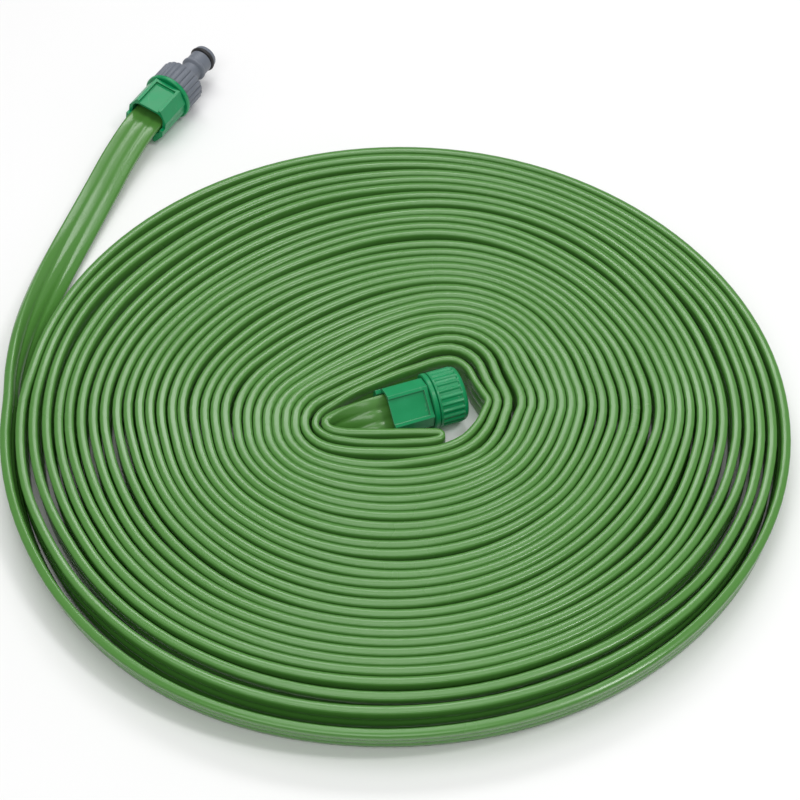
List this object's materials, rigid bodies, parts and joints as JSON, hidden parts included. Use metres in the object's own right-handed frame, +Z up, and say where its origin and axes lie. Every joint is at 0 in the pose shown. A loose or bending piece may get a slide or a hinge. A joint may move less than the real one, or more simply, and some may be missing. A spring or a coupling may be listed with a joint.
{
  "type": "soaker hose",
  "caption": "Flat three-channel perforated garden hose wound on edge into a coil, with a tap adaptor at its inlet end and a screw cap at its far end.",
  "frame": {"origin": "on the ground, under the middle of the whole object's outline", "axes": "+Z up from the ground; +Y along the longest way across the object, from the coil towards the inlet fitting; +X to the right, across the coil"},
  "size_m": [0.4309, 0.5021, 0.0318],
  "materials": {
    "hose_green": "soft PVC, satin with a slight shine",
    "fitting_green": "moulded, smooth satin",
    "adaptor_grey": "moulded, fine matt",
    "seal_rubber": "smooth black rubber"
  },
  "bodies": {
    "hose": {"hose_coil": "hose_green", "hose_lead": "hose_green", "hose_tail": "hose_green", "inlet_hose_end": "hose_green", "inlet_clamp_upper": "fitting_green", "inlet_clamp_lower": "fitting_green", "inlet_manifold": "fitting_green", "outlet_hose_end": "hose_green", "outlet_clamp_upper": "fitting_green", "outlet_clamp_lower": "fitting_green", "outlet_manifold": "fitting_green"},
    "adaptor_seal": {"adaptor_washer": "seal_rubber"},
    "tap_adaptor": {"tap_adaptor": "adaptor_grey", "nipple_o_ring": "seal_rubber"},
    "cap_seal": {"cap_washer": "seal_rubber"},
    "end_cap": {"end_cap": "fitting_green"}
  },
  "joints": [
    {"name": "adaptor_travel", "type": "slide", "parent": "hose", "child": "adaptor_seal", "axis": [0.4695, 0.8829, 0], "range_m": [0, 0.0091]},
    {"name": "adaptor_turn", "type": "hinge", "parent": "adaptor_seal", "child": "tap_adaptor", "pos_m": [-0.155, 0.185, 0.016], "axis": [0.4695, 0.8829, 0], "range_deg": [0, 1800]},
    {"name": "cap_travel", "type": "slide", "parent": "hose", "child": "cap_seal", "axis": [0.9397, 0.342, 0], "range_m": [0, 0.00364]},
    {"name": "cap_turn", "type": "hinge", "parent": "cap_seal", "child": "end_cap", "pos_m": [-0.0032, -0.0546, 0.016], "axis": [0.9397, 0.342, 0], "range_deg": [0, 720]}
  ],
  "couplings": [
    {"joint": "adaptor_travel", "follows": "adaptor_turn", "m_per_rad": 0.00028871},
    {"joint": "cap_travel", "follows": "cap_turn", "m_per_rad": 0.00028871}
  ]
}
